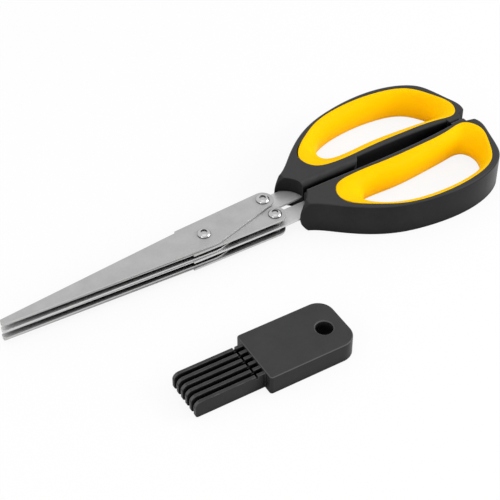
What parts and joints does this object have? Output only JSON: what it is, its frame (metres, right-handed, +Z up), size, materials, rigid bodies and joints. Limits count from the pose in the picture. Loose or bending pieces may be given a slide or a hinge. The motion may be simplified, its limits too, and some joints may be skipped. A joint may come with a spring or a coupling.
{
  "type": "herb scissors",
  "caption": "Herb scissors with a stack of paired blades on one pivot, two soft-lined loop handles, and a loose cleaning comb with upright teeth lying beside them.",
  "frame": {"origin": "middle of the footprint of the scissors and the comb together, on the table", "axes": "+X from the blade tips towards the handles, +Y from the comb towards the scissors, +Z up out of the table, square to the blades"},
  "size_m": [0.2022, 0.1032, 0.0135],
  "materials": {
    "blade_steel": "satin, lightly brushed along the blade",
    "rivet_steel": "polished domed heads with a dimple",
    "handle_plastic": "fine matte moulding, charcoal",
    "grip_rubber": "soft satin elastomer, warm yellow",
    "comb_plastic": "matte moulding, dark grey"
  },
  "bodies": {
    "half_a": {"blade_a_upper": "blade_steel", "blade_a_middle": "blade_steel", "blade_a_lower": "blade_steel", "pivot_rivet": "rivet_steel", "pivot_spacer_upper": "rivet_steel", "pivot_spacer_lower": "rivet_steel", "rear_rivet_a": "rivet_steel", "rear_spacer_a_upper": "rivet_steel", "rear_spacer_a_lower": "rivet_steel", "handle_shell_a": "handle_plastic", "grip_a": "grip_rubber"},
    "half_b": {"blade_b_upper": "blade_steel", "blade_b_middle": "blade_steel", "blade_b_lower": "blade_steel", "rear_rivet_b": "rivet_steel", "rear_spacer_b_upper": "rivet_steel", "rear_spacer_b_lower": "rivet_steel", "handle_shell_b": "handle_plastic", "grip_b": "grip_rubber"},
    "comb": {"cleaning_comb": "comb_plastic"}
  },
  "joints": [
    {"name": "blade_pivot", "type": "hinge", "parent": "half_a", "child": "half_b", "pos_m": [-0.0208, 0.0184, 0.00625], "axis": [0, 0, -1], "range_deg": [0, 40]},
    {"name": "comb_lift", "type": "slide", "parent": "half_a", "child": "comb", "axis": [0, 0, 1], "range_m": [0, 0.06]}
  ]
}
